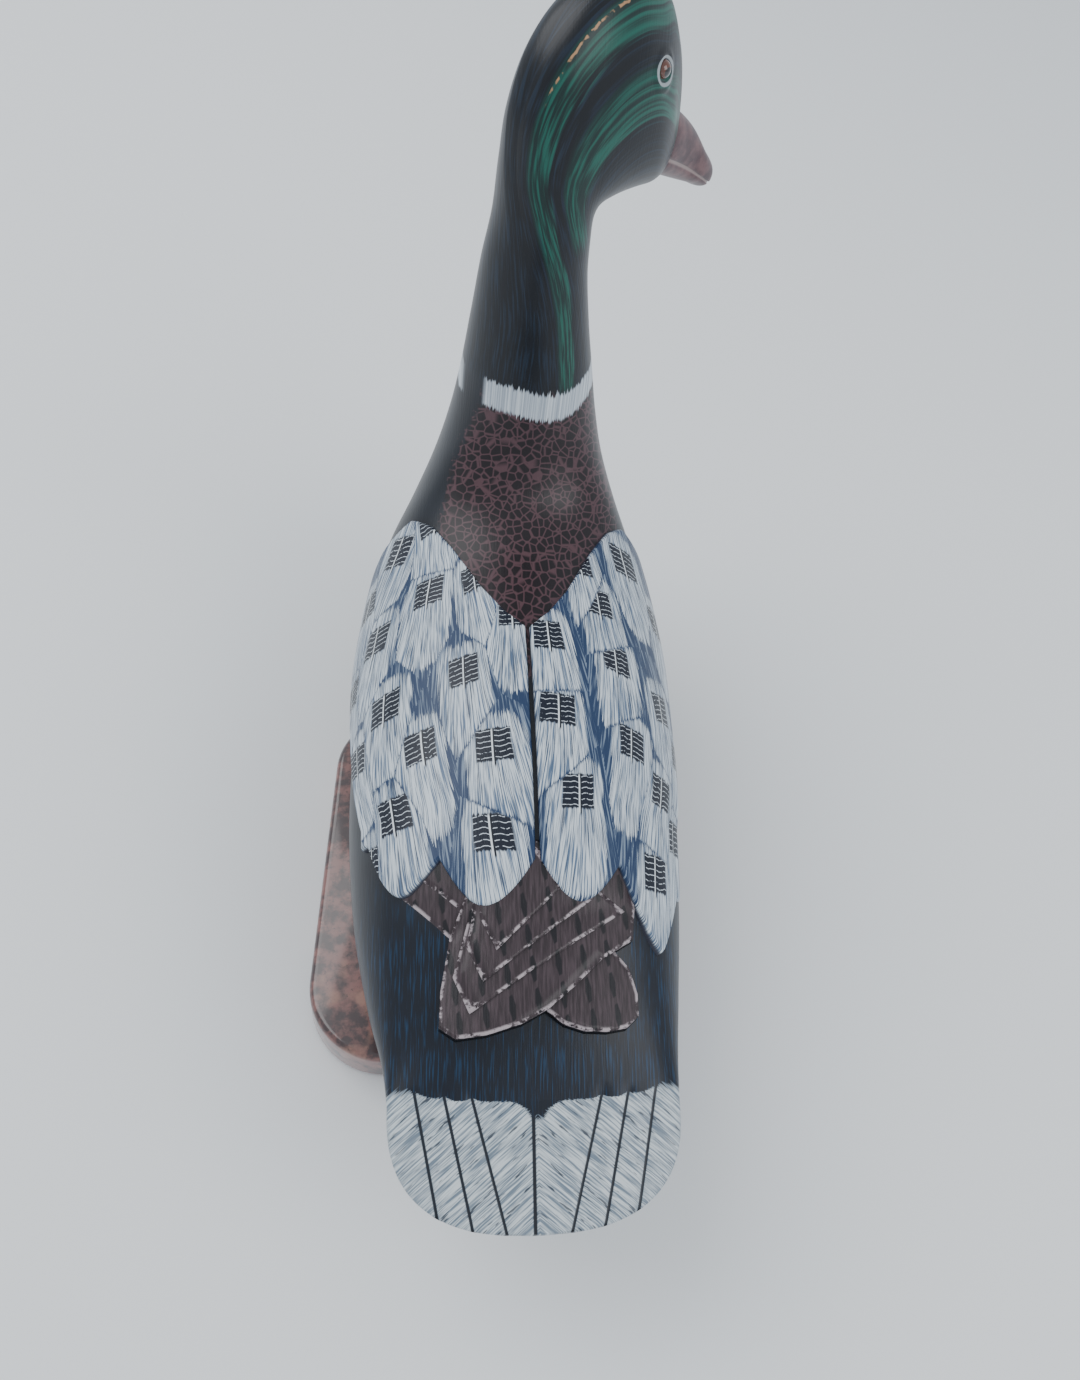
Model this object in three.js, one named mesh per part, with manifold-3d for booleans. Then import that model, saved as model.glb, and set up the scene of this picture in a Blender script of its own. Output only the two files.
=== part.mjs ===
// Carved and painted mallard drake, set on a low plinth with bevelled edges.
// Millimetres, +Z up. The origin is on the plinth's underside, below the middle of the duck's back.
// +Y is the way the breast faces, +X is the duck's right side. The head is turned to that side.

import * as THREE from 'three';
import { mergeVertices } from 'three/addons/utils/BufferGeometryUtils.js';
import Module from 'manifold-3d';

const wasm = await Module();
wasm.setup();

// Driving sizes

const gap = 0.3;                        // between two pieces that touch

const plinthLength = 167;
const plinthWidth = 151;
const plinthHeight = 22;
const plinthCorner = 32;                // radius of the corners, from above
const plinthEdge = 3;                   // bevel round the top and bottom edges
const plinthMiddle = [-4, 2.5];         // [across, along]
const plinthBevelSteps = 2;
const plinthCornerSteps = 8;
const plinthTurn = 3.4;                 // degrees that the plinth sits askew

const ringSides = 32;                   // points round the duck's section
const ringsPerStation = 3;
const tailTip = [-151, 77];             // [along, up] of the fan's rear edge
const tailThickness = 3.2;              // at the rear edge
const tailTaper = 1.5;                  // how fast the tail thins from the rump
const tailRoundness = 2.6;              // of the fan's outline, from above
const tailRings = 7;
const tailCrowding = 1.6;               // packs the rings close to the rear edge
const tailBlunt = 0.004;                // share of the tail left off its very tip

const grooveDepth = 0.9;
const grooveHalfWidth = 2;              // at the height of the cutter above the tail
const grooveStart = -109;
const grooveOverrun = 4;                // past the tail's rear edge
const grooves = [                       // half-spread at the rump and at the tip, either side
  [41, 33],
  [31.5, 22.5],
  [22.5, 12],
];

const neckAxis = 148;                   // along the bird, the upright line of the neck
const headTurn = 48;                    // degrees to the duck's right
const browVertex = 6;                   // the ring's point, from its right, that makes the brow's edge
const browReach = 28;                   // degrees over which the brow's edge falls to the cheek
const browHold = 0.5;                   // share of the brow's height that the crown keeps

const wingRise = 2.6;                   // height of the folded wings above the back
const wingGap = 1.2;                    // between the two wings, along the spine
const wingFloor = 40;                   // clear of the wings below, above and to either side
const wingCeiling = 220;
const wingReach = 100;
const chevrons = 3;                     // overlapping feathers of the upper wing tip
const lobeSteps = 8;                    // points along a feather's round end
const featherStep = 0.8;                // height of one wing feather above the next
const featherPlate = 4;                 // thickness of the crossed wing tips
const wingTipSlope = 0.24;              // fall of the crossed wing tips, towards the tail
const wingTipCrown = 4;                 // fall of the wing tips at wingTipReach off the middle
const wingTipReach = 30;
const wingTipTop = [-45, 120];          // [along, up] of a point on the right tip's top face

const eyeRadius = 3.1;
const eyeFacets = 16;                   // round the eye, from above
const eyeAt = [180.5, 296];             // [along, up] before the head is turned
const headAside = -2;                   // the head's middle plane, from the duck's own
const eyeAcross = 14.9;                 // from the head's middle plane to the eye's centre

const paint = {
  duck: { color: 0x24405c, roughness: 0.45, metalness: 0 },
  plinth: { color: 0x5a3733, roughness: 0.35, metalness: 0 },
  eye: { color: 0x3a1c10, roughness: 0.08, metalness: 0 },
};

const radians = (degrees) => (degrees * Math.PI) / 180;

// Solids from geometry and back

function toSolid(geometry) {
  geometry.deleteAttribute('normal');
  geometry.deleteAttribute('uv');
  const merged = mergeVertices(geometry, 1e-4);
  const mesh = new wasm.Mesh({
    numProp: 3,
    vertProperties: new Float32Array(merged.attributes.position.array),
    triVerts: new Uint32Array(merged.index.array),
  });
  return new wasm.Manifold(mesh);
}

function toGeometry(solid) {
  const mesh = solid.getMesh();
  const geometry = new THREE.BufferGeometry();
  geometry.setAttribute('position', new THREE.BufferAttribute(mesh.vertProperties, 3));
  geometry.setIndex(new THREE.BufferAttribute(mesh.triVerts, 1));
  geometry.computeVertexNormals();
  return geometry;
}

// A closed skin over a row of rings that all have the same number of points
function loft(rings) {
  const sides = rings[0].length;
  const points = rings.flat();
  const faces = [];
  for (let r = 0; r < rings.length - 1; r += 1) {
    for (let s = 0; s < sides; s += 1) {
      const a = r * sides + s;
      const b = r * sides + ((s + 1) % sides);
      faces.push([a, b + sides, b]);
      faces.push([a, a + sides, b + sides]);
    }
  }
  const last = rings.length - 1;
  const middle = (ring) => ring.reduce((sum, p) => sum.add(p), new THREE.Vector3()).divideScalar(sides);
  const firstMiddle = points.push(middle(rings[0])) - 1;
  const lastMiddle = points.push(middle(rings[last])) - 1;
  for (let s = 0; s < sides; s += 1) {
    const next = (s + 1) % sides;
    faces.push([firstMiddle, s, next]);
    faces.push([lastMiddle, last * sides + next, last * sides + s]);
  }
  const geometry = new THREE.BufferGeometry();
  const flat = points.flatMap((p) => [p.x, p.y, p.z]);
  geometry.setAttribute('position', new THREE.Float32BufferAttribute(flat, 3));
  geometry.setIndex(faces.flat());
  return geometry;
}

// A flat outline, in plan, raised to a straight-sided block
function block(outline, low, high) {
  const shape = new THREE.Shape(outline.map(([x, y]) => new THREE.Vector2(x, y)));
  const geometry = new THREE.ExtrudeGeometry(shape, { depth: high - low, bevelEnabled: false });
  geometry.translate(0, 0, low);
  return geometry;
}

function unite(solids) {
  return solids.reduce((sum, solid) => sum.add(solid));
}

// The carver's stations, from the rump to the forehead. Each is a section across the bird:
// back and belly are [along, up] on the side profile, half is the half width from above,
// square is how square the section is (2 is an ellipse), aside is how far its middle lies
// to the right, pear narrows its top and widens its cheeks, and turn is its share of the head's
// turn. brow is how high the sharp edge between the crown and each cheek stands, and browAt is
// the share of the half width at which it runs.
const stations = [
  { back: [-112, 89.0], belly: [-112, 77.0], half: 50, square: 2.8, aside: 0 },
  { back: [-97, 96.5], belly: [-97, 63.0], half: 52, square: 2.5, aside: 0 },
  { back: [-76, 107.5], belly: [-76, 44.0], half: 56.5, square: 2.3, aside: -1 },
  { back: [-45, 121.5], belly: [-45, 28.0], half: 61.5, square: 2.25, aside: -2 },
  { back: [-8, 130.5], belly: [-8, 20.0], half: 64.5, square: 2.25, aside: -2.2 },
  { back: [30, 134.0], belly: [30, 18.0], half: 65.2, square: 2.25, aside: -1.6 },
  { back: [65, 135.5], belly: [68, 19.0], half: 65.2, square: 2.2, aside: -0.6 },
  { back: [92, 138.5], belly: [106, 27.0], half: 61.5, square: 2.15, aside: 0 },
  { back: [108, 146.0], belly: [142, 42.0], half: 55, square: 2.1, aside: 0 },
  { back: [117, 158.0], belly: [168, 68.0], half: 44.8, square: 2.05, aside: 0.8 },
  { back: [122, 171.0], belly: [182, 98.0], half: 36.3, square: 2, aside: 1.2 },
  { back: [125, 185.0], belly: [184, 130.0], half: 30.5, square: 2, aside: 1 },
  { back: [127, 200.0], belly: [178, 162.0], half: 26.5, square: 2, aside: 0 },
  { back: [128, 218.0], belly: [172, 194.0], half: 22.8, square: 2, aside: -1.6 },
  { back: [129, 236.0], belly: [167, 223.0], half: 19.8, square: 2, aside: -2.6, turn: 0.2 },
  {
    back: [129.5, 254.0], belly: [164.5, 241.0], half: 18, square: 2, aside: -1.6,
    brow: 0.6, browAt: 0.34, turn: 0.6,
  },
  {
    back: [130.5, 271.0], belly: [167, 249.0], half: 17.8, square: 2.05, pear: 0.04,
    brow: 1.2, browAt: 0.32, turn: 0.9,
  },
  {
    back: [132.5, 288.0], belly: [173.5, 250.5], half: 18.6, square: 2.15, pear: 0.06,
    brow: 1.7, browAt: 0.38, turn: 1,
  },
  {
    back: [139, 304.0], belly: [180, 250.0], half: 19.6, square: 2.2, pear: 0.1,
    brow: 2, browAt: 0.46, turn: 1,
  },
  {
    back: [151, 315.5], belly: [186.5, 249.5], half: 20, square: 2.3, pear: 0.14,
    brow: 1.9, browAt: 0.52, turn: 1,
  },
  {
    back: [166, 321.0], belly: [192.5, 248.5], half: 19.2, square: 2.35, pear: 0.18,
    brow: 1.3, browAt: 0.56, turn: 1,
  },
  {
    back: [180.5, 320.0], belly: [198, 247.5], half: 16.4, square: 2.3, pear: 0.22,
    brow: 0.6, browAt: 0.56, turn: 1,
  },
  { back: [192, 313.5], belly: [202.5, 246.5], half: 12.8, square: 2.3, pear: 0.22, turn: 1 },
  { back: [200.5, 301.5], belly: [206, 247.0], half: 10.2, square: 2.3, pear: 0.2, turn: 1 },
];

const billStations = [
  { back: [197, 277.5], belly: [194, 252], half: 9.5, square: 2.2 },
  { back: [205.5, 273.5], belly: [203, 248], half: 11, square: 2.3 },
  { back: [215, 267.5], belly: [211.5, 244], half: 10.3, square: 2.4 },
  { back: [223.5, 260.5], belly: [219, 240.5], half: 10, square: 2.4 },
  { back: [230.5, 252], belly: [227, 237], half: 10.8, square: 2.4 },
  { back: [236.5, 245.5], belly: [234, 233.5], half: 10, square: 2.4 },
  { back: [238.8, 240.5], belly: [238, 234], half: 6.8, square: 2.2 },
].map((section) => ({ ...section, turn: 1 }));

// Where the brow's point would lie on a ring of evenly spaced points
const plainBrowAt = Math.cos((2 * Math.PI * browVertex) / ringSides);

// A smooth curve through p1 and p2, with p0 and p3 on either side of them
function smooth(p0, p1, p2, p3, t) {
  const a = 2 * p1;
  const b = p2 - p0;
  const c = 2 * p0 - 5 * p1 + 4 * p2 - p3;
  const d = 3 * p1 - p0 - 3 * p2 + p3;
  return 0.5 * (a + b * t + c * t * t + d * t * t * t);
}

// The section at a place in a list of stations, such as 2.5 for half way from the third to the fourth
function sectionAt(place, list) {
  const index = Math.min(Math.floor(place), list.length - 2);
  const t = place - index;
  const pick = (k) => list[Math.max(0, Math.min(list.length - 1, k))];
  const around = [pick(index - 1), pick(index), pick(index + 1), pick(index + 2)];
  const mix = (read) => smooth(...around.map(read), t);
  return {
    back: [mix((s) => s.back[0]), mix((s) => s.back[1])],
    belly: [mix((s) => s.belly[0]), mix((s) => s.belly[1])],
    half: mix((s) => s.half),
    square: mix((s) => s.square),
    aside: mix((s) => s.aside ?? headAside),
    pear: mix((s) => s.pear ?? 0),
    brow: mix((s) => s.brow ?? 0),
    browAt: mix((s) => s.browAt ?? plainBrowAt),
    turn: mix((s) => s.turn ?? 0),
  };
}

// One closed ring; grow moves it outwards by that many millimetres
function ringOf(section, grow = 0) {
  const back = new THREE.Vector3(0, section.back[0], section.back[1]);
  const belly = new THREE.Vector3(0, section.belly[0], section.belly[1]);
  const centre = back.clone().add(belly).multiplyScalar(0.5);
  const up = back.clone().sub(belly);
  const tall = up.length() / 2 + grow;
  up.normalize();
  const wide = section.half + grow;
  const power = 2 / section.square;
  const bent = (value) => Math.sign(value) * Math.abs(value) ** power;
  const swing = radians(headTurn * section.turn);
  const brow = Math.acos(Math.min(1, section.browAt) ** (1 / power));
  const ring = [];
  for (let s = 0; s < ringSides; s += 1) {
    const angle = ringAngle(s, brow);
    const across = bent(Math.cos(angle));
    const high = bent(Math.sin(angle));
    const lift = section.brow * browShape(angle, brow);
    const point = centre.clone().addScaledVector(up, high * tall + lift);
    point.x += across * wide * (1 - section.pear * high);
    ring.push(turned(point, section.aside, swing));
  }
  return ring;
}

// The ring's points are evenly spaced below its middle, and crowd above it so that one on each
// side lies on the brow
function ringAngle(s, brow) {
  const quarter = ringSides / 4;
  if (s > 2 * quarter) {
    return (2 * Math.PI * s) / ringSides;
  }
  if (s > quarter) {
    return Math.PI - ringAngle(2 * quarter - s, brow);
  }
  if (s <= browVertex) {
    return (brow * s) / browVertex;
  }
  return brow + ((Math.PI / 2 - brow) * (s - browVertex)) / (quarter - browVertex);
}

// Height of the brow at an angle round the section: 1 on its edge, nothing on the cheek
function browShape(angle, brow) {
  const fromRight = angle > Math.PI / 2 ? Math.PI - angle : angle;
  if (fromRight >= brow) {
    return 1 - ((1 - browHold) * (fromRight - brow)) / (Math.PI / 2 - brow);
  }
  return Math.max(0, 1 - (brow - fromRight) / radians(browReach));
}

// A point of the bird, turned about the neck by its share of the head's turn
function turned(point, aside, swing) {
  const along = point.y - neckAxis;
  const x = aside + point.x * Math.cos(swing) + along * Math.sin(swing);
  const y = neckAxis + along * Math.cos(swing) - point.x * Math.sin(swing);
  return new THREE.Vector3(x, y, point.z);
}

// The tail fan: thin sections whose width rounds off towards the rear edge
function fanSections() {
  const root = stations[0];
  const rootThickness = root.back[1] - root.belly[1];
  const sections = [];
  for (let k = 0; k < tailRings; k += 1) {
    const reach = 1 - Math.max(tailBlunt, (k / tailRings) ** tailCrowding);
    const y = root.back[0] + (tailTip[0] - root.back[0]) * reach;
    const top = tailTop(y);
    const thick = tailThickness + (rootThickness - tailThickness) * (1 - reach) ** tailTaper;
    const half = root.half * (1 - reach ** tailRoundness) ** (1 / tailRoundness);
    sections.push({ ...sectionAt(0, stations), back: [y, top], belly: [y, top - thick], half });
  }
  return sections;
}

// Height of the duck's back at a place along the tail
function tailTop(y) {
  const root = stations[0];
  const reach = (root.back[0] - y) / (root.back[0] - tailTip[0]);
  return root.back[1] + (tailTip[1] - root.back[1]) * reach;
}

// All the sections along a list of stations
function runOf(list) {
  const count = (list.length - 1) * ringsPerStation;
  return Array.from({ length: count + 1 }, (_, k) => sectionAt(k / ringsPerStation, list));
}

// Tail, body, neck and head in one skin, moved outwards by grow
function birdBody(grow) {
  const sections = [...fanSections(), ...runOf(stations)];
  return toSolid(loft(sections.map((section) => ringOf(section, grow))));
}

function bill() {
  return toSolid(loft(runOf(billStations).map((section) => ringOf(section))));
}

// Folded wings: the back's own skin, raised, inside an outline with scalloped feather ends

// A round feather end from one valley to the next, [x, y] each
function lobe(start, tip, end, roundness = 1.8) {
  const peak = (tip[0] - start[0]) / (end[0] - start[0]);
  const points = [];
  for (let k = 0; k < lobeSteps; k += 1) {
    const t = k / lobeSteps;
    const off = t < peak ? (peak - t) / peak : (t - peak) / (1 - peak);
    const level = start[1] + (end[1] - start[1]) * t;
    points.push([start[0] + (end[0] - start[0]) * t, level + (tip[1] - level) * (1 - off ** roundness)]);
  }
  return points;
}

// Inner front edge of a wing, from the notch on the spine to the shoulder, and its outer edge
const wingFront = [[0.6, 52], [9, 60], [17, 71], [23, 82], [29, 93], [37, 105], [45, 113]];
const wingOuter = [[56, 112], [68, 102], [80, 80]];

function wingOutline(side, scallops) {
  const outer = wingOuter.map(([x, y]) => [side * x, y]);
  const inner = wingFront.map(([x, y]) => [side * Math.max(x, wingGap / 2), y]);
  return [...inner, ...outer, ...scallops];
}

// Side view of the wing's lower edge, [along, up], from the shoulder to the last feather
const wingLowerEdge = [
  [125, 112], [112, 98], [96, 88], [72, 84], [44, 88], [10, 97], [-20, 103], [-48, 98], [-80, 92],
];

// Everything above the wings' lower edges, right across the bird
function aboveLowerEdge() {
  const [front] = wingLowerEdge[0];
  const [rear] = wingLowerEdge[wingLowerEdge.length - 1];
  const outline = [...wingLowerEdge, [rear, wingCeiling], [front, wingCeiling]];
  const geometry = block(outline, -wingReach, wingReach);
  const across = new THREE.Vector3(0, 1, 0);
  const along = new THREE.Vector3(0, 0, 1);
  const up = new THREE.Vector3(1, 0, 0);
  geometry.applyMatrix4(new THREE.Matrix4().makeBasis(across, along, up));
  return toSolid(geometry);
}

const leftScallops = [
  [-80, -27],
  ...lobe([-59, -27], [-47, -49], [-34, -39.5]),
  ...lobe([-34, -39.5], [-18, -56], [-wingGap / 2, -41]),
  [-wingGap / 2, -42],
];
const rightScallops = [
  [80, -46],
  ...lobe([54, -46], [46, -67], [30, -41.5], 1.3),
  ...lobe([30, -41.5], [15, -54.5], [wingGap / 2, -41]),
  [wingGap / 2, -42],
];

function wings() {
  const skin = birdBody(wingRise).intersect(aboveLowerEdge());
  const left = toSolid(block(wingOutline(-1, leftScallops), wingFloor, wingCeiling));
  const right = toSolid(block(wingOutline(1, rightScallops), wingFloor, wingCeiling));
  return skin.intersect(left.add(right));
}

// Crossed wing tips: feather plates that run out over the rump, each a step above the next.
// A plate is a sloping, slightly crowned sheet, cut to its outline.
function plate(outline, rise) {
  const sheetSize = 120;
  const sheetCells = 10;
  const sheet = new THREE.BoxGeometry(sheetSize, sheetSize, featherPlate, sheetCells, sheetCells, 1);
  sheet.translate(0, wingTipTop[0] - sheetSize / 4, 0);
  const position = sheet.attributes.position;
  for (let k = 0; k < position.count; k += 1) {
    const x = position.getX(k);
    const y = position.getY(k);
    const fall = wingTipCrown * (x / wingTipReach) ** 2;
    const level = wingTipTop[1] + (y - wingTipTop[0]) * wingTipSlope - fall;
    const side = position.getZ(k) > 0 ? rise : rise - featherPlate;
    position.setZ(k, level + side);
  }
  return toSolid(sheet).intersect(toSolid(block(outline, wingFloor, wingCeiling)));
}

const leftTip = [
  [-34, -36], [-48, -47], [-31, -63], [2, -88], [8, -92.5], [15, -94.5], [23, -94.5], [30, -93],
  [34.5, -89], [34.5, -82], [32, -74], [24, -66], [-10, -40],
];
const leftTipInner = [[-34, -36], [-42, -42.5], [-4, -75], [8, -68], [-10, -40]];
const rightTip = [
  [-4, -34], [33, -36], [35, -54], [33.5, -65], [22, -72], [12, -81], [3, -88], [-6, -92.5],
  [-18, -95.5], [-28, -96], [-33.5, -92], [-33, -81], [-30, -64], [-24, -50],
];

// A chevron of the right wing's feathers. Its front end lies under the wings' scallops, and each
// of its other corners steps along from one chevron to the next.
const chevronFront = [[-2, -36], [-20, -46]];
const chevronCorners = [
  { first: [-20, -59], step: [-4.5, -9] },
  { first: [-14.5, -70], step: [-4.5, -9.5] },
  { first: [8, -50], step: [11.5, -3] },
];

function chevron(k) {
  const corners = chevronCorners.map(({ first, step }) => [first[0] + step[0] * k, first[1] + step[1] * k]);
  return [...chevronFront, ...corners];
}

function wingTips() {
  const tips = [plate(leftTip, -2 * featherStep), plate(leftTipInner, -featherStep), plate(rightTip, 0)];
  for (let k = 0; k < chevrons; k += 1) {
    tips.push(plate(chevron(k), (chevrons - k) * featherStep));
  }
  return tips;
}

// A V-shaped cutter between two tail feathers, from nothing at the rump to its full depth
function groove(side, [near, far]) {
  const end = tailTip[0] - grooveOverrun;
  const rings = [];
  for (const t of [0, 0.25, 0.5, 0.75, 1]) {
    const x = side * (near + (far - near) * t);
    const y = grooveStart + (end - grooveStart) * t;
    const top = tailTop(y);
    const cut = t > 0 ? grooveDepth : 0;
    rings.push([
      new THREE.Vector3(x, y, top - cut),
      new THREE.Vector3(x + grooveHalfWidth, y, top + grooveHalfWidth),
      new THREE.Vector3(x - grooveHalfWidth, y, top + grooveHalfWidth),
    ]);
  }
  return toSolid(loft(rings.reverse()));
}

function eyeBall(radius, side) {
  const geometry = new THREE.SphereGeometry(radius, eyeFacets, eyeFacets / 2 + 2);
  const middle = new THREE.Vector3(side * eyeAcross, eyeAt[0], eyeAt[1]);
  const place = turned(middle, headAside, radians(headTurn));
  geometry.translate(place.x, place.y, place.z);
  return toSolid(geometry);
}

// Everything that would reach below the plinth's top, where the belly is cut flat
function belowPlinthTop() {
  const size = 500;
  const depth = 100;
  const geometry = new THREE.BoxGeometry(size, size, depth);
  geometry.translate(0, 0, plinthHeight + gap - depth / 2);
  return toSolid(geometry);
}

function duck() {
  let solid = unite([birdBody(0), bill(), wings(), ...wingTips()]).subtract(belowPlinthTop());
  for (const side of [-1, 1]) {
    solid = solid.subtract(eyeBall(eyeRadius + gap, side));
    for (const line of grooves) {
      solid = solid.subtract(groove(side, line));
    }
  }
  return solid;
}

// Plinth: a slab with rounded corners and bevelled edges
function plinth() {
  const x = plinthWidth / 2 - plinthEdge;
  const y = plinthLength / 2 - plinthEdge;
  const r = plinthCorner - plinthEdge;
  const shape = new THREE.Shape();
  shape.moveTo(-x + r, -y);
  shape.lineTo(x - r, -y);
  shape.absarc(x - r, -y + r, r, -Math.PI / 2, 0);
  shape.absarc(x - r, y - r, r, 0, Math.PI / 2);
  shape.absarc(-x + r, y - r, r, Math.PI / 2, Math.PI);
  shape.absarc(-x + r, -y + r, r, Math.PI, 1.5 * Math.PI);
  const geometry = new THREE.ExtrudeGeometry(shape, {
    depth: plinthHeight - 2 * plinthEdge,
    bevelThickness: plinthEdge,
    bevelSize: plinthEdge,
    bevelSegments: plinthBevelSteps,
    curveSegments: plinthCornerSteps,
  });
  geometry.translate(0, 0, plinthEdge);
  geometry.rotateZ(radians(-plinthTurn));
  geometry.translate(plinthMiddle[0], plinthMiddle[1], 0);
  return toSolid(geometry);
}

function addPiece(group, name, solid, look) {
  const mesh = new THREE.Mesh(toGeometry(solid), new THREE.MeshStandardMaterial(look));
  mesh.name = name;
  group.add(mesh);
}

const model = new THREE.Group();
addPiece(model, 'plinth', plinth(), paint.plinth);
addPiece(model, 'duck', duck(), paint.duck);
addPiece(model, 'eye_left', eyeBall(eyeRadius, -1), paint.eye);
addPiece(model, 'eye_right', eyeBall(eyeRadius, 1), paint.eye);

export default model;
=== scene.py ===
# %% [markdown]
# A carved and painted duck, made again as a visual model.
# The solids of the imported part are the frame: they say where every piece is and how big it is.
# Each cell below makes one piece or one finish. A skin is worked out from a carver's stations,
# so it is smooth where the solids have flat facets, and it stays in the space that they hold.

# %% Load the frame
import math

import bmesh
import bpy
import numpy as np
from mathutils import Matrix, Vector


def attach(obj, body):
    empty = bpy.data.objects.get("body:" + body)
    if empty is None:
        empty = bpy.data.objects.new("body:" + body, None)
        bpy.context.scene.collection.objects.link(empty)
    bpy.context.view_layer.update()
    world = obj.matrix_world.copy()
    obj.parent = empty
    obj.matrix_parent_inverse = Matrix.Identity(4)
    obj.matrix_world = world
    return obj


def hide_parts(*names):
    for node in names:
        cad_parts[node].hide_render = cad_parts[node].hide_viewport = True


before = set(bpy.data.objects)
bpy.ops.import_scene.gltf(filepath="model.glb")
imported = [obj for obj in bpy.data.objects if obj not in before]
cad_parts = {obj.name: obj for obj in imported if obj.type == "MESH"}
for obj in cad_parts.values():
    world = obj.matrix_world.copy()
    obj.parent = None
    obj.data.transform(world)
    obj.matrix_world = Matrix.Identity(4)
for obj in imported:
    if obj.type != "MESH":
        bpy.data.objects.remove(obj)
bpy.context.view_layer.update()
MM = 0.001
scene = bpy.context.scene
print("frame holds", sorted(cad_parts))

# %% [markdown]
# The camera stands behind the duck, well above it, a little to its left, and looks down along
# its back with a slight lean. Its place and angles were fitted to the photograph. The lens is a
# focal length in pixels, so it becomes millimetres through the sensor's width, which Blender
# lays along the longer side of the picture.

# %% The camera
IMAGE_HEIGHT = 1380
FOCAL_PIXELS = 1080
SENSOR = 36.0
CAMERA_PLACE = Vector((-49.7, -207.0, 459.9)) * MM
YAW, PITCH, ROLL = (math.radians(angle) for angle in (12.98, 54.0, 11.75))


def aim_camera():
    forward = Vector((math.sin(YAW) * math.cos(PITCH), math.cos(YAW) * math.cos(PITCH), -math.sin(PITCH)))
    level = Vector((math.cos(YAW), -math.sin(YAW), 0))
    upright = level.cross(forward)
    right = math.cos(ROLL) * level + math.sin(ROLL) * upright
    up = math.cos(ROLL) * upright - math.sin(ROLL) * level
    turn = Matrix((right, up, -forward)).transposed()
    lens = bpy.data.cameras.new("camera")
    lens.sensor_width = SENSOR
    lens.sensor_fit = "AUTO"
    lens.lens = FOCAL_PIXELS * SENSOR / IMAGE_HEIGHT
    camera = bpy.data.objects.new("camera", lens)
    camera.matrix_world = Matrix.Translation(CAMERA_PLACE) @ turn.to_4x4()
    scene.collection.objects.link(camera)
    scene.camera = camera
    return camera


print("lens", round(aim_camera().data.lens, 2), "mm")

# %% [markdown]
# Shader maths reads best as plain arithmetic. This small class wraps a socket, and Python's
# operators on it add Math nodes. Everything else comes from one method, which takes the node's
# type, its settings and the values or links of its sockets. A plain number is set on a socket,
# and a wrapped socket is linked to it.


# %% Shader arithmetic
class Mix:
    """A shader socket on which Python's arithmetic adds Math nodes."""

    def __init__(self, tree, socket=None):
        self.tree = tree
        self.socket = socket

    def add(self, kind, settings=(), values=(), output=0):
        made = self.tree.nodes.new(kind)
        for name, value in dict(settings).items():
            if name == "stops":
                ramp = made.color_ramp.elements
                while len(ramp) < len(value):
                    ramp.new(1)
                for element, (place, colour) in zip(ramp, value):
                    element.position = place
                    element.color = (*colour, 1)
            else:
                setattr(made, name, value)
        pairs = values.items() if isinstance(values, dict) else enumerate(values)
        for key, value in pairs:
            if isinstance(value, Mix):
                self.tree.links.new(value.socket, made.inputs[key])
            elif value is not None:
                made.inputs[key].default_value = value
        return Mix(self.tree, made.outputs[output])

    def math(self, operation, *values):
        return self.add("ShaderNodeMath", {"operation": operation}, values)

    def __add__(self, other):
        return self.math("ADD", self, other)

    def __sub__(self, other):
        return self.math("SUBTRACT", self, other)

    def __mul__(self, other):
        return self.math("MULTIPLY", self, other)

    def __truediv__(self, other):
        return self.math("DIVIDE", self, other)

    def __rsub__(self, other):
        return self.math("SUBTRACT", other, self)

    def __rtruediv__(self, other):
        return self.math("DIVIDE", other, self)

    def __neg__(self):
        return self.math("MULTIPLY", self, -1)

    __radd__ = __add__
    __rmul__ = __mul__

    def size(self):
        return self.math("ABSOLUTE", self)

    def lower(self, other):
        return self.math("MINIMUM", self, other)

    def upper(self, other):
        return self.math("MAXIMUM", self, other)

    def wave(self):
        return self.math("SINE", self)

    def whole(self):
        return self.math("FLOOR", self)

    def part(self):
        return self.math("FRACT", self)

    def fade(self, start, end):
        """0 before start, 1 after end, with a smooth rise between; start may be the larger."""
        settings = {"interpolation_type": "SMOOTHSTEP"}
        return self.add("ShaderNodeMapRange", settings, {"Value": self, "From Min": start, "From Max": end})


def attribute(ink, name):
    return ink.add("ShaderNodeAttribute", {"attribute_name": name}, output="Vector")


def number(ink, name):
    return ink.add("ShaderNodeAttribute", {"attribute_name": name}, output="Fac")


def parts_of(vector):
    split = vector.add("ShaderNodeSeparateXYZ", values=[vector]).socket.node
    return [Mix(vector.tree, socket) for socket in split.outputs]


def joined(x, y, z=0.0):
    ink = next(value for value in (x, y, z) if isinstance(value, Mix))
    return ink.add("ShaderNodeCombineXYZ", values=[x, y, z])


def cloud(vector, scale=1.0, detail=2.0, roughness=0.5):
    values = {"Vector": vector, "Scale": scale, "Detail": detail, "Roughness": roughness}
    return vector.add("ShaderNodeTexNoise", {"noise_dimensions": "3D"}, values)


def blend(factor, first, second):
    settings = {"data_type": "RGBA", "blend_type": "MIX"}
    return factor.add("ShaderNodeMix", settings, {0: factor, 6: first, 7: second}, output=2)


def paint(red, green, blue):
    """A colour given as 0 to 255 on a screen, as the linear values a shader takes."""
    return tuple(((value / 255 + 0.055) / 1.055) ** 2.4 for value in (red, green, blue)) + (1.0,)


def new_material(name):
    """A material with a Principled shader and the tools to feed it."""
    material = bpy.data.materials.new(name)
    material.use_nodes = True
    tree = material.node_tree
    shader = tree.nodes["Principled BSDF"]
    return material, shader, Mix(tree)


def wire(tree, shader, **links):
    for name, value in links.items():
        socket = shader.inputs[name.replace("_", " ")]
        if isinstance(value, Mix):
            tree.links.new(value.socket, socket)
        else:
            socket.default_value = value


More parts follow.
